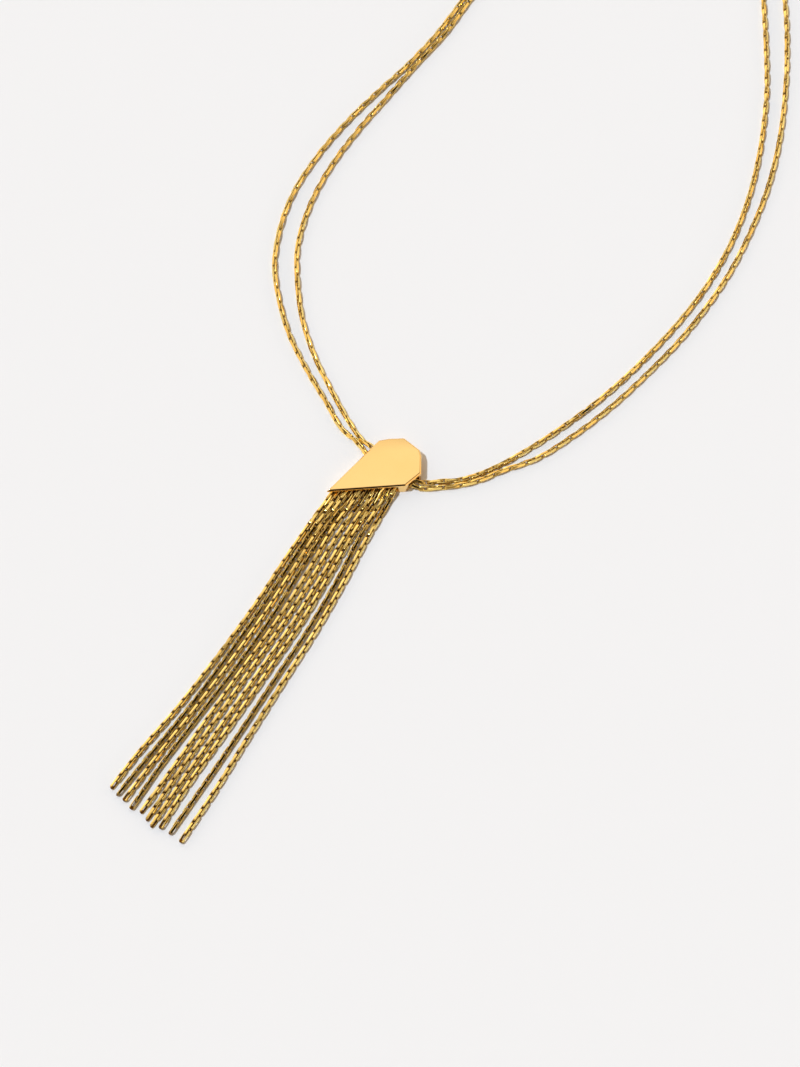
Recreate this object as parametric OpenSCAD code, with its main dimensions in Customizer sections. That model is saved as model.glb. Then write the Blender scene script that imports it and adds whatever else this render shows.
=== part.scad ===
// Two-strand chain necklace with a leaf-shaped slider and a ten-strand chain tassel,
// lying on a flat surface. The origin is on the slider's underside, the tassel runs
// towards -Y and the neck loop towards +Y. Lengths are in millimetres.

/* [Slider] */
// Length of the slider from its tip to its head
slider_l = 22.75; // [22:0.05:24]
// Width of the slider across its head
slider_w = 12.8; // [12.4:0.1:14]
// Direction of the slider's length, counted from +X
slider_angle = 54.9; // [52:0.1:58]
// Distance from the slider's tip to the origin
origin_from_tip = 13.75; // [13:0.05:14.5]
// Thickness of the back plate
back_t = 0.5; // [0.4:0.05:0.8]
// Thickness of the front plate
front_t = 0.7; // [0.6:0.05:1]
// Chamfer round the front plate's face
bevel = 0.3; // [0.2:0.05:0.5]
// Wall that joins the plates round the head
head_wall = 0.45; // [0.35:0.05:0.6]
// Thin wall that joins the plates on the long side
side_wall = 0.3; // [0.25:0.05:0.35]
// Depth of the mouth that is open past the side wall, where the tassel comes out
mouth_d = 0.55; // [0.5:0.05:0.6]
// Length of the corner post at the end of the mouth
post_l = 1.7; // [1.4:0.1:1.8]
// Depth of the corner post
post_d = 1.1; // [1.1:0.1:1.5]
// Diameter of the bar that the tassel hangs from
bar_d = 0.45; // [0.35:0.05:0.5]
// Distance of the bar's centre inside the mouth
bar_in = 0.8; // [0.8:0.05:0.9]

/* [Chains] */
// Width of one chain
chain_w = 1.16; // [1.1:0.02:1.2]
// Room above and below a chain between the plates
plate_gap = 0.27; // [0.2:0.01:0.3]
// Room beside the neck chains where they pass through the slider
pass_gap = 0.2; // [0.12:0.01:0.22]
// Gap between a chain and the surface that it lies on
lie_gap = 0.09; // [0.02:0.01:0.1]

/* [Tassel] */
// Number of chains in the tassel
strands = 10; // [2:1:10]
// Length of the tassel below the slider's tip
tassel_l = 87.3; // [80:0.1:95]
// Distance along the mouth from the tip to the first chain's place on the bar
first_hang = 1.5; // [1.4:0.05:1.6]
// Distance from the last chain's place on the bar to the corner post
last_hang = 0.25; // [0.25:0.05:0.4]
// Smallest gap between two chains of the tassel
strand_gap = 0.04; // [0.02:0.01:0.06]
// Length over which a chain comes down from the bar to the surface
come_down = 3; // [2.5:0.1:3.5]

/* [Neck chains] */
// Distance from the head's far corner to the inner chain where it goes in
inner_entry = 1.65; // [1.4:0.05:1.7]
// Distance from the head's far corner to the outer chain where it goes in
outer_entry = 3.8; // [3.2:0.05:4]
// Distance from the lower corner to the outer chain where it comes out
outer_exit = 1.72; // [1.5:0.01:1.75]
// Distance from the lower corner to the inner chain where it comes out
inner_exit = 3.14; // [3.1:0.01:3.2]

/* [Clasp] */
// Length of the clasp's barrel
clasp_l = 8; // [6:0.5:10]
// Diameter of the clasp's barrel
clasp_d = 2.6; // [2.2:0.1:3]
// Length of an end cap without its tab
cap_l = 5; // [4:0.5:6]
// Width of an end cap
cap_w = 4.2; // [4.2:0.1:4.6]
// Height of an end cap
cap_h = 2.4; // [2.3:0.1:2.8]
// Distance between the two chains in an end cap
cap_spacing = 1.8; // [1.7:0.1:2]
// Room round a chain in its end cap's hole
cap_gap = 0.15; // [0.1:0.01:0.18]
// Depth of a chain's hole in the end cap
cap_depth = 2.5; // [2:0.1:3]
// Length of a tab beyond the hole's centre
tab_end = 1; // [0.95:0.05:1.1]
// Distance from the clasp's or cap's body to its tab's hole
tab_neck = 1.2; // [1.1:0.05:1.4]
// Thickness of a tab
tab_t = 1; // [0.8:0.05:1.1]
// Height of a tab
tab_h = 2; // [1.8:0.1:2.2]
// Diameter of the wire of a clasp ring
ring_wire = 0.7; // [0.6:0.05:0.8]
// Outer diameter of a clasp ring
ring_d = 4; // [3.9:0.1:4.4]
// Room round a ring's wire in a tab's hole
tab_gap = 0.2; // [0.18:0.01:0.22]

/* [Hidden] */
tassel_numbers = [for (i = [1:strands]) i];
function tassel_name(i) = str("tassel_chain_", i < 10 ? "0" : "", i);

gold = [0.93, 0.74, 0.38];

// Plane geometry

function unit(v) = v / norm(v);
function mix(a, b, t) = a + (b - a) * t;
function left_of(v) = [-v[1], v[0]];
function turn(p, angle) = [p[0] * cos(angle) - p[1] * sin(angle), p[0] * sin(angle) + p[1] * cos(angle)];
function heading(angle) = [cos(angle), sin(angle)];
function sum(list, count) = count == 0 ? 0 : list[count - 1] + sum(list, count - 1);

// Corner b of an outline after the edge before it moves in by d1 and the edge after it by d2
function inset_corner(a, b, c, d1, d2) =
    let (n1 = left_of(unit(b - a)), n2 = left_of(unit(c - b)), k = n1[0] * n2[1] - n1[1] * n2[0])
    b + [d1 * n2[1] - d2 * n1[1], n1[0] * d2 - n2[0] * d1] / k;
// A counter-clockwise outline with each edge moved in by its own distance
function inset(points, by) =
    let (n = len(points))
    [for (i = [0:n - 1])
        inset_corner(points[(i + n - 1) % n], points[i], points[(i + 1) % n], by[(i + n - 1) % n], by[i])];

// Slider outline: shares of its length along its axis and of its width across it
head_shares = [
    [0, 0],
    [0.702, -0.514],
    [0.895, -0.419],
    [0.985, -0.118],
    [1, 0],
    [0.925, 0.332],
    [0.793, 0.438],
    [0.698, 0.486]
];
outline = [for (s = head_shares) turn([s[0] * slider_l - origin_from_tip, s[1] * slider_w], slider_angle)];
tip = outline[0];
lower_corner = outline[1];
exit_end = outline[2];
far_corner = outline[len(outline) - 1];

// Heights in the slider
slot_h = chain_w + 2 * plate_gap;
slot_z = back_t + slot_h / 2;
slider_t = back_t + slot_h + front_t;

// The mouth is the edge from the tip to the lower corner
mouth_dir = unit(lower_corner - tip);
mouth_l = norm(lower_corner - tip);
post_from = mouth_l - post_l;
function from_tip(along, depth) = tip + along * mouth_dir + depth * left_of(mouth_dir);
// The neck chains go in over the edge from the far corner to the tip and come out beyond the lower corner
entry_dir = unit(tip - far_corner);
exit_dir = unit(exit_end - lower_corner);
outer_in = far_corner + outer_entry * entry_dir;
inner_in = far_corner + inner_entry * entry_dir;
outer_out = lower_corner + outer_exit * exit_dir;
inner_out = lower_corner + inner_exit * exit_dir;

cut = 1;
round_fn = 48;

// Chains

chain_sides = 8;
chain_r = chain_w / 2 / cos(180 / chain_sides);
lie_z = chain_w / 2 + lie_gap;
ring_step = 5.2;

// Direction of a route at one of its points, weighted towards the nearer neighbour,
// and level wherever the route doesn't climb or fall right through the point
function slope(p, i) =
    i == 0 ? unit(p[1] - p[0]) :
    i == len(p) - 1 ? unit(p[i] - p[i - 1]) :
    let (
        a = p[i] - p[i - 1],
        b = p[i + 1] - p[i],
        la = norm(a),
        lb = norm(b),
        v = (a / la * lb + b / lb * la) / (la + lb)
    )
    a[2] * b[2] > 0 ? v : [v[0], v[1], 0];
// Point at share t of the span after point i
function on_span(p, i, t) =
    let (d = norm(p[i + 1] - p[i]), u = slope(p, i) * d, v = slope(p, i + 1) * d)
    (2 * t * t * t - 3 * t * t + 1) * p[i] + (t * t * t - 2 * t * t + t) * u
    + (3 * t * t - 2 * t * t * t) * p[i + 1] + (t * t * t - t * t) * v;
function smooth(p) = concat(
    [for (i = [0:len(p) - 2])
        let (n = max(1, round(norm(p[i + 1] - p[i]) / ring_step)))
        for (k = [0:n - 1]) on_span(p, i, k / n)],
    [p[len(p) - 1]]
);
// Corners of one cross-section of a chain, with a flat side down
function section(path, i) =
    let (
        along = unit(path[min(i + 1, len(path) - 1)] - path[max(i - 1, 0)]),
        side = unit(cross(along, [0, 0, 1])),
        up = cross(side, along)
    )
    [for (k = [0:chain_sides - 1])
        let (a = (k + 0.5) * 360 / chain_sides)
        path[i] + chain_r * (cos(a) * side + sin(a) * up)];

// A chain as a closed tube along its route
module chain(route) {
    path = smooth(route);
    n = chain_sides;
    last = len(path) - 1;
    points = [for (i = [0:last]) each section(path, i)];
    walls = [for (i = [0:last - 1]) for (k = [0:n - 1])
        [i * n + k, i * n + (k + 1) % n, (i + 1) * n + (k + 1) % n, (i + 1) * n + k]];
    ends = [[for (k = [n - 1:-1:0]) k], [for (k = [0:n - 1]) last * n + k]];
    color(gold) polyhedron(points, concat(walls, ends));
}

function lying(points) = [for (p = points) [p[0], p[1], lie_z]];
function at_height(p, z) = [p[0], p[1], z];

// Tassel

// Each row: share of the tassel's length, place of the first chain across it,
// then the extra spaces between each chain and the next
tassel_rows = [
    [0.05, -7.7, 0, 0, 0, 0, 0.4, 0.4, 0.05, 0.25, 0.4],
    [0.2, -8.55, 0.15, 0.2, 0.1, 0.5, 0.35, 0.45, 0.15, 0.75, 0.35],
    [0.35, -8.95, 0.2, 0.3, 0.35, 0.4, 0.3, 0.5, 0.3, 0.85, 0.45],
    [0.5, -9.95, 0.4, 0.3, 0.4, 0.3, 0.35, 0.6, 0.35, 0.95, 0.7],
    [0.7, -11.85, 0.75, 0.15, 0.35, 0.85, 0.45, 0.55, 0.4, 1.4, 1.05],
    [0.85, -13.95, 1, 0.45, 0.6, 1.4, 0.4, 0.5, 0.3, 1.65, 1.6]
];
tassel_end_row = [-14.9, 0.65, 0.75, 1, 1.1, 0.75, 0.35, 0.7, 1.15, 1.8];
// Share of the tassel's length at which each chain ends
tassel_ends = [0.954, 0.963, 0.968, 0.979, 0.977, 0.988, 0.998, 0.991, 0.993, 1];

hang_pitch = (post_from - last_hang - first_hang) / (max(strands, 2) - 1);

function across(first, spaces, i) = first + i * (chain_w + strand_gap) + sum(spaces, i);
function row_spaces(row, from) = [for (k = [from:len(row) - 1]) row[k]];
function tassel_y(share) = tip[1] - share * tassel_l;
// Where a chain that runs down from its place on the bar leaves the mouth
function hang_start(i) =
    from_tip(first_hang + i * hang_pitch - bar_in * mouth_dir[1] / mouth_dir[0], 0);
function tassel_route(i) =
    let (
        start = hang_start(i),
        row = tassel_rows[0],
        first = [across(row[1], row_spaces(row, 2), i), tassel_y(row[0])]
    )
    concat(
        [at_height(start, slot_z)],
        lying([start + come_down * unit(first - start)]),
        [for (row = tassel_rows) [across(row[1], row_spaces(row, 2), i), tassel_y(row[0]), lie_z]],
        [[across(tassel_end_row[0], row_spaces(tassel_end_row, 1), i), tassel_y(tassel_ends[i]), lie_z]]
    );

module tassel_chain(i) {
    chain(tassel_route(i - 1));
}

// Clasp

clasp_at = [-7, 175.5];
left_cap_angle = 225;
right_cap_angle = -30;

bore_d = ring_wire + 2 * tab_gap;
ring_r = (ring_d - ring_wire) / 2;
cap_bore_d = 2 * chain_r + 2 * cap_gap;
body_z = cap_h / 2;
link_z = tab_h / 2;

left_hole = clasp_at - [clasp_l / 2 + tab_neck, 0];
right_hole = clasp_at + [clasp_l / 2 + tab_neck, 0];
left_ring_at = left_hole - [ring_r, 0];
right_ring_at = right_hole + [ring_r, 0];
left_cap_hole = left_ring_at + ring_r * heading(left_cap_angle);
right_cap_hole = right_ring_at + ring_r * heading(right_cap_angle);

// Point on a chain in an end cap: distance from the cap's mouth inwards, and the side it lies on
function in_cap(hole, angle, depth, side) =
    let (p = hole + heading(angle) * (tab_neck + cap_l - depth) + left_of(heading(angle)) * side)
    [p[0], p[1], body_z];

// A flat tab along +X from the body at x = 0, with a hole across it
module tab() {
    difference() {
        translate([-cut, -tab_t / 2, 0]) cube([cut + tab_neck + tab_end, tab_t, tab_h]);
        translate([tab_neck, 0, link_z])
            rotate([90, 0, 0]) cylinder(h = tab_t + 2 * cut, d = bore_d, center = true, $fn = round_fn);
    }
}

// An end cap whose tab's hole is at the given point, with its chains leaving at the given angle
module end_cap(hole, angle) {
    color(gold) translate([hole[0], hole[1], 0]) rotate(angle) difference() {
        union() {
            translate([tab_neck, -cap_w / 2, 0]) cube([cap_l, cap_w, cap_h]);
            translate([tab_neck, 0, 0]) mirror([1, 0, 0]) tab();
        }
        for (side = [-1, 1])
            translate([tab_neck + cap_l - cap_depth, side * cap_spacing / 2, body_z])
                rotate([0, 90, 0]) cylinder(h = cap_depth + cut, d = cap_bore_d, $fn = round_fn);
    }
}

module end_cap_left() {
    end_cap(left_cap_hole, left_cap_angle);
}

module end_cap_right() {
    end_cap(right_cap_hole, right_cap_angle);
}

module clasp_ring(at) {
    color(gold) translate([at[0], at[1], link_z])
        rotate_extrude($fn = round_fn) translate([ring_r, 0]) circle(d = ring_wire, $fn = round_fn / 2);
}

module clasp_ring_left() {
    clasp_ring(left_ring_at);
}

module clasp_ring_right() {
    clasp_ring(right_ring_at);
}

module clasp() {
    color(gold) translate([clasp_at[0], clasp_at[1], 0]) {
        translate([-clasp_l / 2, 0, clasp_d / 2]) rotate([0, 90, 0]) cylinder(h = clasp_l, d = clasp_d, $fn = round_fn);
        translate([clasp_l / 2, 0, 0]) tab();
        translate([-clasp_l / 2, 0, 0]) mirror([1, 0, 0]) tab();
    }
}

// Slider

module plate(points, z0, z1) {
    translate([0, 0, z0]) linear_extrude(z1 - z0) polygon(points);
}

// The front plate's chamfered face, from the outline up to the smaller face
module chamfered(lower, upper, z0, z1) {
    n = len(lower);
    points = concat([for (p = lower) at_height(p, z0)], [for (p = upper) at_height(p, z1)]);
    walls = [for (k = [0:n - 1]) [k, n + k, n + (k + 1) % n, (k + 1) % n]];
    ends = [[for (k = [0:n - 1]) k], [for (k = [n - 1:-1:0]) n + k]];
    polyhedron(points, concat(walls, ends));
}

// The way through the slider for both neck chains, past its edges on either side
module neck_pass() {
    outer_dir = unit(outer_out - outer_in);
    inner_dir = unit(inner_out - inner_in);
    half = chain_w / 2 + pass_gap;
    run_out = 3;
    below = -half * left_of(outer_dir);
    above = half * left_of(inner_dir);
    plate([
        outer_in + below - run_out * outer_dir,
        outer_out + below + run_out * outer_dir,
        inner_out + above + run_out * inner_dir,
        inner_in + above - run_out * inner_dir
    ], back_t, back_t + slot_h);
}

// The hollow between the plates: open at the mouth, closed by the walls and the corner post
module hollow() {
    z0 = back_t;
    z1 = back_t + slot_h;
    n = len(outline);
    walls = [for (i = [0:n - 1]) i == 0 ? mouth_d : i == n - 1 ? side_wall : head_wall];
    difference() {
        union() {
            plate(inset(outline, walls), z0, z1);
            plate([
                from_tip(-cut, -cut),
                from_tip(post_from, -cut),
                from_tip(post_from, mouth_d),
                from_tip(-cut, mouth_d)
            ], z0, z1);
        }
        plate([
            from_tip(post_from, -cut),
            from_tip(mouth_l + cut, -cut),
            from_tip(mouth_l + cut, post_d),
            from_tip(post_from, post_d)
        ], z0 - cut, z1 + cut);
    }
}

// The bar runs from the side wall into the corner post
module bar() {
    bar_from = side_reach(bar_in) + side_wall / 2;
    bar_to = post_from + post_l / 4;
    start = from_tip(bar_from, bar_in);
    translate([start[0], start[1], slot_z])
        rotate([0, 0, atan2(mouth_dir[1], mouth_dir[0])])
            rotate([0, 90, 0]) cylinder(h = bar_to - bar_from, d = bar_d, $fn = round_fn / 2);
}
// Distance along the mouth at which the slider's long side lies this deep behind it
function side_reach(depth) =
    let (side = unit(far_corner - tip))
    depth * (side * mouth_dir) / (side * left_of(mouth_dir));

module slider() {
    color(gold) union() {
        difference() {
            union() {
                plate(outline, 0, slider_t - bevel);
                chamfered(outline, inset(outline, [for (p = outline) bevel]), slider_t - bevel, slider_t);
            }
            hollow();
            neck_pass();
        }
        bar();
    }
}

// Routes of the neck chains, chosen points on the surface from the left end cap to the slider
// and from the slider to the right end cap
outer_left = [
    [-23.5, 167.5], [-29.5, 160.5], [-35, 151], [-39, 140.5], [-41.3, 129.5], [-42.2, 118],
    [-43.1, 107], [-45.1, 96], [-47.5, 87], [-50, 76], [-51.5, 65], [-51.5, 52.5], [-49.5, 43],
    [-46, 34.5], [-41, 27.5], [-35, 21], [-27.5, 15], [-19, 9.2], [-12.8, 5], [-8.3, 3.6]
];
inner_left = [
    [-22, 166], [-28, 159], [-33.5, 149.5], [-37.5, 139.5], [-39.8, 129], [-40.8, 118.5],
    [-41.5, 108], [-43.4, 97], [-45, 86.5], [-46.7, 75], [-47.5, 62], [-46.5, 51],
    [-43.5, 40.5], [-39, 32.5], [-34, 25.5], [-27.5, 18.8], [-19.5, 12.4], [-12.5, 7.4], [-8, 4.8]
];
inner_right = [
    [9.3, 1.6], [12.2, 3.5], [15.9, 5.9], [19, 9.2], [21.9, 13.3], [26, 20.5], [31, 31.3],
    [35, 42], [38, 53], [40.5, 65.5], [41.6, 76], [41.5, 87.5], [40.4, 97], [38, 108],
    [34.5, 119], [30.5, 129], [26, 138], [20, 149], [16, 156], [12, 161.5], [8.5, 166.5]
];
outer_right = [
    [9.6, 0.2], [12.9, 2.25], [16.6, 4.9], [19.8, 8], [22.7, 11.9], [28, 18.2], [33, 28],
    [37, 38.5], [40, 49], [42.5, 59.8], [44, 70.5], [44.6, 82], [44, 93], [42.4, 105],
    [39.4, 117], [35.5, 128], [31, 138.5], [24, 152], [19.5, 159], [15, 164.5], [10.5, 168.5]
];
chain_end_gap = 0.2;

// A neck chain's whole route: out of the left cap, through the slider and into the right cap
function neck_route(left, into, out, right, side) =
    let (deep = cap_depth - chain_end_gap, offset = side * cap_spacing / 2)
    concat(
        [for (d = [deep, 0]) in_cap(left_cap_hole, left_cap_angle, d, offset)],
        lying(left),
        [for (t = [0, 0.5, 1]) at_height(mix(into, out, t), slot_z)],
        lying(right),
        [for (d = [0, deep]) in_cap(right_cap_hole, right_cap_angle, d, -offset)]
    );

module neck_chain_outer() {
    chain(neck_route(outer_left, outer_in, outer_out, outer_right, -1));
}

module neck_chain_inner() {
    chain(neck_route(inner_left, inner_in, inner_out, inner_right, 1));
}

slider();
neck_chain_inner();
neck_chain_outer();
for (i = tassel_numbers)
    tassel_chain(i);
end_cap_left();
end_cap_right();
clasp_ring_left();
clasp_ring_right();
clasp();
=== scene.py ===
import math
import random

import bmesh
import bpy
import numpy as np
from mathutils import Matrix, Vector


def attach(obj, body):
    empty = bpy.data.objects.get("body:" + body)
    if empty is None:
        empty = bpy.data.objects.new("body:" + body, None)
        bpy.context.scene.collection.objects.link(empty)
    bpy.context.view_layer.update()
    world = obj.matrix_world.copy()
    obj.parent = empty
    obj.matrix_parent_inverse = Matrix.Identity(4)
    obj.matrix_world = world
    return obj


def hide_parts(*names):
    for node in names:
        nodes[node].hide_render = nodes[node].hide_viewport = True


MM = 0.001

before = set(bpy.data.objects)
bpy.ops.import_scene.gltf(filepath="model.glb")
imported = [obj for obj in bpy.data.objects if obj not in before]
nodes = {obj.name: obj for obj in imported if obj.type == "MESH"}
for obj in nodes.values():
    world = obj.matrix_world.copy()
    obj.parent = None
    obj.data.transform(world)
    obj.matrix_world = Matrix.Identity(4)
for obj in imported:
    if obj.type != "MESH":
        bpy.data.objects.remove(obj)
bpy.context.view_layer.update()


# Camera: at the photograph's angle above the surface, looking at a point beside the slider

LOOK_AT = Vector((10.39, -11.68, 0.0)) * MM
CAMERA_ABOVE = math.radians(62)
CAMERA_AWAY = 1043.5 * MM
LENS, SENSOR_WIDTH = 161.95, 36
CLIP_START, CLIP_END = 0.05, 50
# What is up and what is right in the photograph, as directions on the surface
IMAGE_UP = Vector((-0.4695, 0.8829, 0.0))
IMAGE_RIGHT = Vector((0.8829, 0.4695, 0.0))

camera_data = bpy.data.cameras.new("camera")
camera = bpy.data.objects.new("camera", camera_data)
bpy.context.scene.collection.objects.link(camera)
bpy.context.scene.camera = camera
camera_data.sensor_width = SENSOR_WIDTH
camera_data.lens = LENS
camera_data.clip_start = CLIP_START
camera_data.clip_end = CLIP_END
towards_camera = -math.cos(CAMERA_ABOVE) * IMAGE_UP + math.sin(CAMERA_ABOVE) * Vector((0, 0, 1))
camera.location = LOOK_AT + CAMERA_AWAY * towards_camera
camera.rotation_euler = (-towards_camera).to_track_quat("-Z", "Y").to_euler()


# Materials

CLOUD_SCALE, CLOUD_DETAIL, CLOUD_RANGE = 90, 3, (0.35, 0.65)
MARK_STRETCH, MARK_DETAIL, MARK_DEPTH = (1, 6, 1), 4, 0.02 * MM
SATIN_ROUGHNESS = 0.42
# dark brown painted shade for the chain links' recesses and ends, also used for a random darker tone
# per link
PAINTED_SHADE = (0.13, 0.045, 0.002)


def new_material(name):
    material = bpy.data.materials.new(name)
    material.use_nodes = True
    tree = material.node_tree
    return material, tree, tree.nodes["Principled BSDF"]


def add(tree, kind, **inputs):
    """A shader node with some of its inputs set by name; a value that is a socket is linked."""
    node = tree.nodes.new(kind)
    for key, value in inputs.items():
        socket = node.inputs[key.replace("_", " ")]
        if isinstance(value, bpy.types.NodeSocket):
            tree.links.new(value, socket)
        else:
            socket.default_value = value
    return node


def calculated(tree, operation, *values):
    """The result of a Math node; each value is a number or a socket."""
    node = tree.nodes.new("ShaderNodeMath")
    node.operation = operation
    for socket, value in zip(node.inputs, values):
        if isinstance(value, bpy.types.NodeSocket):
            tree.links.new(value, socket)
        else:
            socket.default_value = value
    return node.outputs[0]


def ramp(tree, factor, low, high, start=0.0, end=1.0):
    """A colour ramp between two colours."""
    node = add(tree, "ShaderNodeValToRGB", Fac=factor)
    first, second = node.color_ramp.elements
    first.position, second.position = start, end
    first.color, second.color = (*low, 1), (*high, 1)
    return node.outputs["Color"]


def spread(tree, value, low, high):
    """A value from 0 to 1 spread over a range."""
    return add(tree, "ShaderNodeMapRange", Value=value, To_Min=low, To_Max=high).outputs["Result"]


def noise(tree, coordinate, scale, detail):
    node = add(tree, "ShaderNodeTexNoise", Vector=coordinate, Scale=scale, Detail=detail)
    return node.outputs["Fac"]


def stretched(tree, factors):
    """Object coordinates scaled by a factor along each axis, for brushed marks."""
    place = tree.nodes.new("ShaderNodeTexCoord").outputs["Object"]
    return add(tree, "ShaderNodeMapping", Vector=place, Scale=factors).outputs["Vector"]


def attribute(tree, name):
    node = tree.nodes.new("ShaderNodeAttribute")
    node.attribute_name = name
    return node.outputs["Fac"]


def mixed(tree, factor, start, end):
    """A colour that goes from a socket's colour to a fixed one."""
    node = tree.nodes.new("ShaderNodeMix")
    node.data_type = "RGBA"
    tree.links.new(factor, node.inputs["Factor"])
    tree.links.new(start, node.inputs[6])
    node.inputs[7].default_value = (*end, 1)
    return node.outputs[2]


def gold(name, low, high, rough, grain, bump, shade_and_tone=None):
    """Polished gold plate: a cloudy colour, and fine polishing marks in its gloss and its relief.
    With a painted shade colour, the mesh says where the metal is satin and how far its colour goes
    towards that colour, as painted shade in its recesses and at link ends and a random darker tone
    per link."""
    material, tree, shader = new_material(name)
    cloud = noise(tree, stretched(tree, (1, 1, 1)), CLOUD_SCALE, CLOUD_DETAIL)
    marks = noise(tree, stretched(tree, MARK_STRETCH), grain, MARK_DETAIL)
    colour = ramp(tree, cloud, low, high, *CLOUD_RANGE)
    roughness = spread(tree, marks, *rough)
    if shade_and_tone:
        # the colour darkens towards the painted shade colour where the mesh attribute asks for it
        colour = mixed(tree, attribute(tree, "shade_and_tone"), colour, shade_and_tone)
        satin = attribute(tree, "satin")
        roughness = calculated(tree, "MULTIPLY_ADD", satin, SATIN_ROUGHNESS, roughness)
    shader.inputs["Metallic"].default_value = 1
    tree.links.new(colour, shader.inputs["Base Color"])
    tree.links.new(roughness, shader.inputs["Roughness"])
    relief = add(tree, "ShaderNodeBump", Height=marks, Strength=bump, Distance=MARK_DEPTH)
    tree.links.new(relief.outputs["Normal"], shader.inputs["Normal"])
    return material


slider_gold = gold(
    "slider_gold", (0.98, 0.645, 0.24), (1.0, 0.67, 0.26), rough=(0.04, 0.1), grain=900, bump=0.05)
chain_gold = gold(
    "chain_gold", (0.96, 0.68, 0.205), (1.0, 0.74, 0.24), rough=(0.07, 0.17), grain=1800, bump=0.25,
    shade_and_tone=PAINTED_SHADE)
clasp_gold = gold(
    "clasp_gold", (0.95, 0.66, 0.22), (1.0, 0.71, 0.26), rough=(0.08, 0.16), grain=1500, bump=0.1)


# Routes, the same points as the solids', in millimetres

SLOT_Z = 1.35
LIE_Z = 0.67
SLIDER_L, SLIDER_W, SLIDER_ANGLE, ORIGIN_FROM_TIP = 22.75, 12.8, 54.9, 13.75
# The outline's corners, as shares of its length and width
HEAD_SHARES = [
    (0, 0), (0.702, -0.514), (0.895, -0.419), (0.985, -0.118),
    (1, 0), (0.925, 0.332), (0.793, 0.438), (0.698, 0.486),
]
# Where the outer and the inner neck chain go in and come out, from the slot's corners
ENTRY_PLACES, EXIT_PLACES = (3.8, 1.65), (1.72, 3.14)
POST_L, LAST_HANG, FIRST_HANG, BAR_IN, COME_DOWN = 1.7, 0.25, 1.5, 0.8, 3.0


def unit(v):
    return v / np.linalg.norm(v)


def heading(degrees):
    return np.array([math.cos(math.radians(degrees)), math.sin(math.radians(degrees))])


def left_of(v):
    return np.array([-v[1], v[0]])


def on_slider(share):
    along = share[0] * SLIDER_L - ORIGIN_FROM_TIP
    return along * heading(SLIDER_ANGLE) + share[1] * SLIDER_W * left_of(heading(SLIDER_ANGLE))


outline = [on_slider(s) for s in HEAD_SHARES]
tip, lower_corner, exit_end, far_corner = outline[0], outline[1], outline[2], outline[-1]
mouth_dir = unit(lower_corner - tip)
mouth_l = np.linalg.norm(lower_corner - tip)
entry_dir = unit(tip - far_corner)
exit_dir = unit(exit_end - lower_corner)
outer_in, inner_in = (far_corner + d * entry_dir for d in ENTRY_PLACES)
outer_out, inner_out = (lower_corner + d * exit_dir for d in EXIT_PLACES)


def from_tip(along, depth):
    return tip + along * mouth_dir + depth * left_of(mouth_dir)


def lying(points):
    return [np.array([x, y, LIE_Z]) for x, y in points]


def at_height(point, z):
    return np.array([point[0], point[1], z])


CLASP_AT = np.array([-7.0, 175.5])
CLASP_L, TAB_NECK, CAP_L, CAP_DEPTH, CAP_SPACING, BODY_Z, RING_R = 8, 1.2, 5, 2.5, 1.8, 1.2, 1.65
CHAIN_END_GAP = 0.2
LEFT_CAP_ANGLE, RIGHT_CAP_ANGLE = 225, -30
ring_reach = CLASP_L / 2 + TAB_NECK + RING_R
left_cap_hole = CLASP_AT - [ring_reach, 0] + RING_R * heading(LEFT_CAP_ANGLE)
right_cap_hole = CLASP_AT + [ring_reach, 0] + RING_R * heading(RIGHT_CAP_ANGLE)


def in_cap(hole, angle, depth, side):
    along = heading(angle)
    return at_height(hole + along * (TAB_NECK + CAP_L - depth) + left_of(along) * side, BODY_Z)


OUTER_LEFT = [
    (-23.5, 167.5), (-29.5, 160.5), (-35, 151), (-39, 140.5), (-41.3, 129.5), (-42.2, 118),
    (-43.1, 107), (-45.1, 96), (-47.5, 87), (-50, 76), (-51.5, 65), (-51.5, 52.5), (-49.5, 43),
    (-46, 34.5), (-41, 27.5), (-35, 21), (-27.5, 15), (-19, 9.2), (-12.8, 5), (-8.3, 3.6),
]
INNER_LEFT = [
    (-22, 166), (-28, 159), (-33.5, 149.5), (-37.5, 139.5), (-39.8, 129), (-40.8, 118.5),
    (-41.5, 108), (-43.4, 97), (-45, 86.5), (-46.7, 75), (-47.5, 62), (-46.5, 51),
    (-43.5, 40.5), (-39, 32.5), (-34, 25.5), (-27.5, 18.8), (-19.5, 12.4), (-12.5, 7.4), (-8, 4.8),
]
INNER_RIGHT = [
    (9.3, 1.6), (12.2, 3.5), (15.9, 5.9), (19, 9.2), (21.9, 13.3), (26, 20.5), (31, 31.3),
    (35, 42), (38, 53), (40.5, 65.5), (41.6, 76), (41.5, 87.5), (40.4, 97), (38, 108),
    (34.5, 119), (30.5, 129), (26, 138), (20, 149), (16, 156), (12, 161.5), (8.5, 166.5),
]
OUTER_RIGHT = [
    (9.6, 0.2), (12.9, 2.25), (16.6, 4.9), (19.8, 8), (22.7, 11.9), (28, 18.2), (33, 28),
    (37, 38.5), (40, 49), (42.5, 59.8), (44, 70.5), (44.6, 82), (44, 93), (42.4, 105),
    (39.4, 117), (35.5, 128), (31, 138.5), (24, 152), (19.5, 159), (15, 164.5), (10.5, 168.5),
]


def neck_route(left, into, out, right, side):
    """From the left end cap, round the left, through the slider and up the right to the other."""
    deep, offset = CAP_DEPTH - CHAIN_END_GAP, side * CAP_SPACING / 2
    return (
        [in_cap(left_cap_hole, LEFT_CAP_ANGLE, d, offset) for d in (deep, 0)]
        + lying(left)
        + [at_height(into + (out - into) * t, SLOT_Z) for t in (0, 0.5, 1)]
        + lying(right)
        + [in_cap(right_cap_hole, RIGHT_CAP_ANGLE, d, -offset) for d in (0, deep)]
    )


STRANDS = 10
STRAND_SPACE = 1.2
TASSEL_L = 87.3
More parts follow.
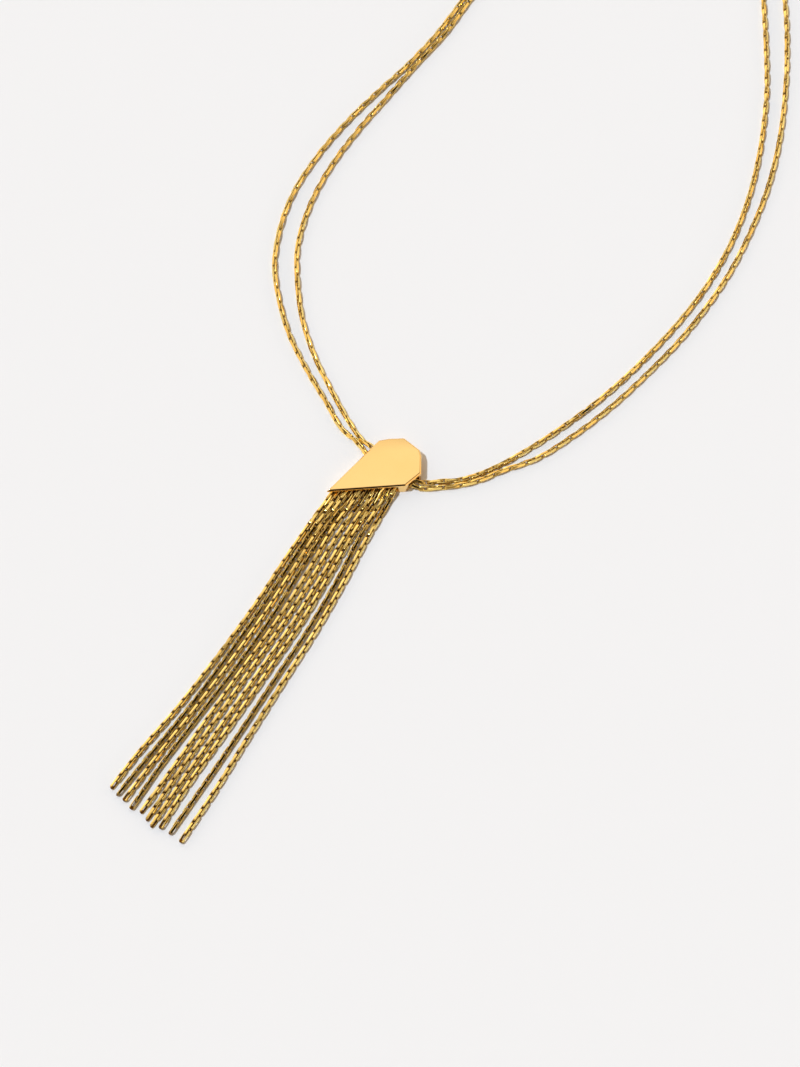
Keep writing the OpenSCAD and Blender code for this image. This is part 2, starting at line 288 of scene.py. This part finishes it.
# Each row: share of the tassel's length, place of the first chain, extra spaces between the chains
TASSEL_ROWS = [
    (0.05, -7.7, (0, 0, 0, 0, 0.4, 0.4, 0.05, 0.25, 0.4)),
    (0.2, -8.55, (0.15, 0.2, 0.1, 0.5, 0.35, 0.45, 0.15, 0.75, 0.35)),
    (0.35, -8.95, (0.2, 0.3, 0.35, 0.4, 0.3, 0.5, 0.3, 0.85, 0.45)),
    (0.5, -9.95, (0.4, 0.3, 0.4, 0.3, 0.35, 0.6, 0.35, 0.95, 0.7)),
    (0.7, -11.85, (0.75, 0.15, 0.35, 0.85, 0.45, 0.55, 0.4, 1.4, 1.05)),
    (0.85, -13.95, (1, 0.45, 0.6, 1.4, 0.4, 0.5, 0.3, 1.65, 1.6)),
]
TASSEL_END_ROW = (-14.9, (0.65, 0.75, 1, 1.1, 0.75, 0.35, 0.7, 1.15, 1.8))
TASSEL_ENDS = (0.954, 0.963, 0.968, 0.979, 0.977, 0.988, 0.998, 0.991, 0.993, 1)
hang_pitch = (mouth_l - POST_L - LAST_HANG - FIRST_HANG) / (STRANDS - 1)


def across(first, spaces, i):
    return first + i * STRAND_SPACE + sum(spaces[:i])


def tassel_route(i):
    """From the bar in the slider's mouth, down to the surface and along it to the free end."""
    leave = FIRST_HANG + i * hang_pitch - BAR_IN * mouth_dir[1] / mouth_dir[0]
    start = from_tip(leave, 0)
    rows = [np.array([across(x, s, i), tip[1] - share * TASSEL_L]) for share, x, s in TASSEL_ROWS]
    rows.append(np.array([across(*TASSEL_END_ROW, i), tip[1] - TASSEL_ENDS[i] * TASSEL_L]))
    lean = unit(rows[0] - start)
    return (
        [at_height(start - BAR_REACH * lean, SLOT_Z), at_height(start, SLOT_Z)]
        + lying([start + COME_DOWN * lean])
        + lying(rows)
    )


def slope(p, i):
    """The route's direction at a point, level where the route stops rising or falling."""
    if i == 0:
        return unit(p[1] - p[0])
    if i == len(p) - 1:
        return unit(p[i] - p[i - 1])
    a, b = p[i] - p[i - 1], p[i + 1] - p[i]
    la, lb = np.linalg.norm(a), np.linalg.norm(b)
    v = (a / la * lb + b / lb * la) / (la + lb)
    return v if a[2] * b[2] > 0 else v * [1, 1, 0]


def fine_route(p, step=0.2):
    """The smooth route through the points, as closely spaced points."""
    found = []
    for i in range(len(p) - 1):
        d = np.linalg.norm(p[i + 1] - p[i])
        u, v = slope(p, i) * d, slope(p, i + 1) * d
        t = np.linspace(0, 1, max(2, round(d / step)), endpoint=False)[:, None]
        found.append(
            (2 * t**3 - 3 * t**2 + 1) * p[i] + (t**3 - 2 * t**2 + t) * u
            + (3 * t**2 - 2 * t**3) * p[i + 1] + (t**3 - t**2) * v
        )
    return np.vstack(found + [p[-1][None]])


# Chain links: long closed loops of wire, their outer faces cut flat

LINK_PITCH, LINK_L, LINK_W = 1.85, 3.46, 1.16
END_T, SIDE_T = 0.8, 0.3
OUTER_CORNER, INNER_CORNER, CORNER_STEPS = 0.46, 0.16, 4
# Half the wire's height, from its outer face (0) to its inner edge (1), at the sides and the ends
SIDE_PROFILE = [(-0.03, 0), (0, 0.22), (0.2, 0.28), (0.4, 0.3), (0.68, 0.26), (0.9, 0.15), (1, 0)]
END_PROFILE = [(-0.03, 0), (0, 0.1), (0.12, 0.2), (0.35, 0.27), (0.65, 0.26), (0.9, 0.15), (1, 0)]
FLAT_H = 2 * SIDE_PROFILE[1][1]
# Beyond its flat a side is satin, and its inner part and its ends get painted shade
SATIN_RISE, SHADE_START, SHADE_RISE = 8, 0.45, 2.2
TONE_CHANGE = 0.1
LEAN_OVER = 8
# The first tassel links go so far behind the slider's mouth that their holes take the bar
BAR_PLAY = 0.23
BAR_REACH = BAR_IN - (LINK_L / 2 - END_T) + BAR_PLAY
SHARP_ANGLE = math.radians(34)


def rounded_loop(length, width, corner):
    """Points round a rectangle with round corners, and how far each is turned towards an end."""
    points, endness = [], []
    for quarter, (sx, sy) in enumerate(((1, 1), (-1, 1), (-1, -1), (1, -1))):
        for step in range(CORNER_STEPS + 1):
            angle = math.pi / 2 * (quarter + step / CORNER_STEPS)
            points.append((
                sx * (length / 2 - corner) + corner * math.cos(angle),
                sy * (width / 2 - corner) + corner * math.sin(angle),
            ))
            endness.append(abs(math.cos(angle)))
        if quarter in (0, 2):
            points.append((0, sy * width / 2))
            endness.append(0)
    return np.array(points), np.array(endness)


def link_template():
    """One closed link lying along X with its width along Y: its points, how satin each of them is
    and how much painted shade it gets, from 0 to 1, and its faces."""
    outer, endness = rounded_loop(LINK_L, LINK_W, OUTER_CORNER)
    inner, _ = rounded_loop(LINK_L - 2 * END_T, LINK_W - 2 * SIDE_T, INNER_CORNER)
    rings = []
    for (u, z), (u_end, z_end) in zip(SIDE_PROFILE, END_PROFILE):
        share = u + (u_end - u) * endness
        satin = np.clip(SATIN_RISE * share, 0, 1)
        # painted shade: darker towards the inner edge, and full at the link ends
        shade_and_tone = np.clip(SHADE_RISE * (share - SHADE_START), 0, 1)
        rings.append((
            outer + (inner - outer) * share[:, None], z + (z_end - z) * endness,
            satin * (1 - endness) + endness, shade_and_tone * (1 - endness) + endness,
        ))
    rings += [(flat, -z, *rest) for flat, z, *rest in reversed(rings[1:-1])]
    points = np.stack([np.column_stack(ring) for ring in rings], axis=1).reshape(-1, 5)
    count, sides = len(outer), len(rings)
    faces = [
        (i * sides + k, ((i + 1) % count) * sides + k,
         ((i + 1) % count) * sides + (k + 1) % sides, i * sides + (k + 1) % sides)
        for i in range(count) for k in range(sides)
    ]
    return points[:, :3], points[:, 3], points[:, 4], np.array(faces)


template_points, template_satin, template_shade, template_faces = link_template()


def place_on(route, run, s):
    return np.array([np.interp(s, run, route[:, k]) for k in range(3)])


def chain_links(points, pitch, roll, first=0.0, count=None, barrel=0.1, lean=0.0, loose=5.0,
                seed=0):
    """Joined mesh of interlocked links along a route, to its very end. The pitch is that of the
    last links, and without a count the nearest that fits; roll is a function of the distance
    along the route, in degrees; every second link is turned by a right angle, and each one by up
    to the loose angle more. Barrel is the share of its width that a link loses at its ends. A
    lean moves the chain off its route, after the first few links."""
    shape = template_points.copy()
    shape[:, 1] *= 1 - barrel * (shape[:, 0] / (LINK_L / 2)) ** 2
    route = fine_route(points)
    run = np.concatenate([[0], np.cumsum(np.linalg.norm(np.diff(route, axis=0), axis=1))])
    rng = random.Random(seed)
    all_points, all_tones = [], []
    last = run[-1] - LINK_L / 2
    fitted = round((last - first) / pitch)
    count = count or fitted
    lengthen = pitch * count / (last - first) - 1 if count != fitted else 0
    share = np.linspace(0, 1, count + 1)
    for k, s in enumerate(first + (last - first) * ((1 - lengthen) * share + lengthen * share**2)):
        centre = place_on(route, run, s)
        along = unit(place_on(route, run, min(s + 1, run[-1])) - place_on(route, run, max(s - 1, 0)))
        side = unit(np.cross(along, [0, 0, 1]))
        up = np.cross(side, along)
        turn = math.radians(roll(s) + 90 * (k % 2) + rng.uniform(-loose, loose))
        wide = math.cos(turn) * side + math.sin(turn) * up
        thick = np.cross(along, wide)
        # the lower edges of a chain that lies on the surface touch it
        c, d = abs(math.cos(turn)), abs(math.sin(turn))
        reach = max(LINK_W * d + FLAT_H * c, LINK_W * c + FLAT_H * d) / 2
        centre = centre + [0, 0, reach - LIE_Z] - lean * min(1, s / LEAN_OVER) * side
        basis = np.stack([along * pitch / LINK_PITCH, wide, thick])
        all_points.append(shape @ basis + centre)
        all_tones.append(np.full(len(shape), rng.random()))
    offsets = np.arange(count + 1)[:, None, None] * len(shape)
    faces = (template_faces[None] + offsets).reshape(-1, 4)
    return np.vstack(all_points) * MM, faces, np.concatenate(all_tones)


def dressed(mesh, material, node):
    """The piece that shows a mesh in place of a solid, smooth but for its sharp edges."""
    mesh.materials.clear()
    mesh.materials.append(material)
    mesh.polygons.foreach_set("use_smooth", [True] * len(mesh.polygons))
    mesh.set_sharp_from_angle(angle=SHARP_ANGLE)
    piece = bpy.data.objects.new(mesh.name, mesh)
    bpy.context.scene.collection.objects.link(piece)
    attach(piece, "root")
    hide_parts(node)
    return piece


def chain_piece(node, route, pitch, roll, shade_depth=1.0, **options):
    """A chain's links in place of its solid; one share sets how dark the painted shade in its
    recesses and at its link ends is.
    """
    points, faces, tones = chain_links(route, pitch, roll, **options)
    mesh = bpy.data.meshes.new(node + "_links")
    mesh.from_pydata(points.tolist(), [], faces.tolist())
    links = len(tones) // len(template_satin)
    # painted shade in the recesses and at the link ends, plus a random darker tone for each link
    shade_and_tone = np.tile(template_shade * shade_depth, links) + TONE_CHANGE * tones
    for key, values in (("satin", np.tile(template_satin, links)), ("shade_and_tone", shade_and_tone)):
        mesh.attributes.new(key, "FLOAT", "POINT").data.foreach_set("value", values)
    return dressed(mesh, chain_gold, node)


def wave(seed, size, length):
    """A slow random wave along a chain, in degrees."""
    rng = random.Random(seed)
    parts = [(rng.uniform(0.7, 1.6) * length, rng.uniform(0, 2 * math.pi)) for _ in range(3)]
    return lambda s: size / 3 * sum(math.sin(2 * math.pi * s / l + a) for l, a in parts)


# Neck chains: how far the links are turned, in degrees, at places along each chain

NECK_PITCH = 1.93
NECK_DRIFT = {"size": 7, "length": 60}
# the neck links' painted shade in their recesses is half as dark as the tassel links'
NECK_LINKS = {"first": 1.7, "barrel": 0.3, "loose": 10, "shade_depth": 0.5}
OUTER_ROLL = {"places": (0, 205, 225, 260, 290), "angles": (45, 45, 32, 32, 38)}
INNER_ROLL = {"places": (0, 205, 211, 243, 255), "angles": (45, 45, 100, 100, 38)}


def neck_roll(seed, places, angles):
    drift = wave(seed, **NECK_DRIFT)
    return lambda s: float(np.interp(s, places, angles)) + drift(s)


chain_piece(
    "neck_chain_outer", neck_route(OUTER_LEFT, outer_in, outer_out, OUTER_RIGHT, -1),
    NECK_PITCH, neck_roll(1, **OUTER_ROLL), seed=11, **NECK_LINKS)
chain_piece(
    "neck_chain_inner", neck_route(INNER_LEFT, inner_in, inner_out, INNER_RIGHT, 1),
    NECK_PITCH, neck_roll(2, **INNER_ROLL), seed=12, **NECK_LINKS)


# Tassel chains: each one twists below the slider and settles to its lie

TASSEL_ROLLS = (68, 112, 68, 112, 68, 68, 68, 68, 112, 68)
TASSEL_LINKS = (46, 46, 47, 47, 48, 48, 50, 49, 50, 51)
TASSEL_LEAN = 0.2
TASSEL_DRIFT = {"size": 8, "length": 60}
TASSEL_TWIST = {"size": 75, "length": 9}
SETTLED_WITHIN = (8, 18)


def hanging_roll(i):
    drift, twist = wave(20 + i, **TASSEL_DRIFT), wave(40 + i, **TASSEL_TWIST)
    settled = random.Random(60 + i).uniform(*SETTLED_WITHIN)

    def roll(s):
        share = min(1, s / settled)
        return 90 + (TASSEL_ROLLS[i] - 90) * share + drift(s) + (1 - share) * twist(s)

    return roll


for i in range(STRANDS):
    chain_piece(
        f"tassel_chain_{i + 1:02d}", tassel_route(i), LINK_PITCH, hanging_roll(i),
        count=TASSEL_LINKS[i], lean=TASSEL_LEAN, seed=30 + i)


# Slider and closure: the solids with their edges rounded

ROUND_STEPS = 3
ROUND_OVER = math.radians(25)
FLAT_WITHIN = math.radians(1)
SAME_POINT, SMALLEST_EDGE = 0.0001 * MM, 0.002 * MM


def rounded_copy(node, material, width):
    """A copy of a solid with a small round along its sharp outer edges."""
    shape = bmesh.new()
    shape.from_mesh(nodes[node].data)
    bmesh.ops.remove_doubles(shape, verts=shape.verts, dist=SAME_POINT)
    bmesh.ops.dissolve_limit(
        shape, angle_limit=FLAT_WITHIN, verts=shape.verts, edges=shape.edges)
    edges = [
        e for e in shape.edges
        if len(e.link_faces) == 2 and e.calc_face_angle_signed() > ROUND_OVER
        and e.calc_length() > 2 * width
    ]
    bmesh.ops.bevel(
        shape, geom=edges, offset=width, offset_type="OFFSET", segments=ROUND_STEPS, profile=0.5,
        affect="EDGES", clamp_overlap=True)
    bmesh.ops.remove_doubles(shape, verts=shape.verts, dist=SMALLEST_EDGE)
    bmesh.ops.dissolve_degenerate(shape, edges=shape.edges, dist=SMALLEST_EDGE)
    bmesh.ops.triangulate(shape, faces=[f for f in shape.faces if len(f.verts) > 4])
    mesh = bpy.data.meshes.new(node + "_rounded")
    shape.to_mesh(mesh)
    shape.free()
    return dressed(mesh, material, node)


rounded_copy("slider", slider_gold, 0.09 * MM)
for name in ("end_cap_left", "end_cap_right", "clasp"):
    rounded_copy(name, clasp_gold, 0.12 * MM)
for name in ("clasp_ring_left", "clasp_ring_right"):
    nodes[name].data.materials.clear()
    nodes[name].data.materials.append(clasp_gold)


# Floor

FLOOR_SIZE = 14
FLOOR_CLOUDS = 40
FLOOR_LOW, FLOOR_HIGH = (0.848, 0.842, 0.836), (0.853, 0.847, 0.841)


def floor_material():
    material, tree, shader = new_material("floor")
    cloud = noise(tree, stretched(tree, (1, 1, 1)), FLOOR_CLOUDS, CLOUD_DETAIL)
    tree.links.new(ramp(tree, cloud, FLOOR_LOW, FLOOR_HIGH), shader.inputs["Base Color"])
    shader.inputs["Roughness"].default_value = 0.9
    shader.inputs["Specular IOR Level"].default_value = 0.1
    return material


bpy.ops.mesh.primitive_plane_add(size=FLOOR_SIZE)
floor = bpy.context.object
floor.name = "floor"
floor.data.materials.append(floor_material())


# Light: a key light, and the studio that the metal mirrors


def from_image(right, up, elevation):
    """A direction given as it looks in the photograph, and its height above the surface."""
    flat = (IMAGE_RIGHT * right + IMAGE_UP * up).normalized()
    e = math.radians(elevation)
    return (flat.x * math.cos(e), flat.y * math.cos(e), math.sin(e))


WORLD_BASE = 0.2
WARM, NEUTRAL = (1, 0.78, 0.54), (1, 0.99, 0.98)
WORLD_HORIZON = 1.0
HORIZON_TOP, HORIZON_FULL = 45, 18
DARKEST = 0.01
# Centre, radius of the full part, outer radius, strength; the last three take light away
WORLD_PATCHES = [
    (from_image(-0.55, 0.83, 30), 13, 24, 0.6),
    (from_image(0, 1, 62), 15, 19, 0.93),
    (from_image(0, -1, 76), 16, 22, 0.5),
    (from_image(1, -0.05, 58), 22, 32, -0.19),
    (from_image(0.05, 1, 40), 9, 17, -0.19),
    (from_image(0.1, -1, 29), 19, 32, -0.9),
]
SUN_FROM = from_image(-1, -0.1, 63)
SUN_ENERGY, SUN_COLOUR, SUN_ANGLE = 2.17, (0.875, 1, 1.154), math.radians(5)


def patch_light(tree, direction, centre, inner, outer, strength):
    """A round patch of light: full inside one angle from its centre, gone at another."""
    dot = tree.nodes.new("ShaderNodeVectorMath")
    dot.operation = "DOT_PRODUCT"
    tree.links.new(direction, dot.inputs[0])
    dot.inputs[1].default_value = Vector(centre).normalized()
    edge = add(
        tree, "ShaderNodeMapRange", Value=dot.outputs["Value"],
        From_Min=math.cos(math.radians(outer)), From_Max=math.cos(math.radians(inner)),
    )
    edge.interpolation_type = "SMOOTHSTEP"
    return calculated(tree, "MULTIPLY", edge.outputs["Result"], strength)


def studio():
    """A dim fill, a pale band that fades out above the horizon, and the patches."""
    world = bpy.data.worlds.new("studio")
    bpy.context.scene.world = world
    world.use_nodes = True
    tree = world.node_tree
    direction = tree.nodes.new("ShaderNodeTexCoord").outputs["Generated"]
    height = tree.nodes.new("ShaderNodeSeparateXYZ")
    tree.links.new(direction, height.inputs[0])
    low = add(
        tree, "ShaderNodeMapRange", Value=height.outputs["Z"],
        From_Min=math.sin(math.radians(HORIZON_TOP)), From_Max=math.sin(math.radians(HORIZON_FULL)),
    )
    band = calculated(tree, "MULTIPLY", low.outputs["Result"], WORLD_HORIZON)
    fill = total = calculated(tree, "ADD", WORLD_BASE, band)
    for patch in WORLD_PATCHES:
        total = calculated(tree, "ADD", total, patch_light(tree, direction, *patch))
    total = calculated(tree, "MAXIMUM", total, DARKEST)
    # the fill and the band are warm, the patches neutral
    colour = ramp(tree, calculated(tree, "DIVIDE", fill, total), NEUTRAL, WARM)
    background = tree.nodes["Background"]
    tree.links.new(total, background.inputs["Strength"])
    tree.links.new(colour, background.inputs["Color"])


studio()

sun_data = bpy.data.lights.new("key", "SUN")
sun_data.energy = SUN_ENERGY
sun_data.angle = SUN_ANGLE
sun_data.color = SUN_COLOUR
sun = bpy.data.objects.new("key", sun_data)
bpy.context.scene.collection.objects.link(sun)
sun.rotation_euler = Vector(SUN_FROM).to_track_quat("Z", "Y").to_euler()

bpy.context.scene.view_settings.view_transform = "Standard"
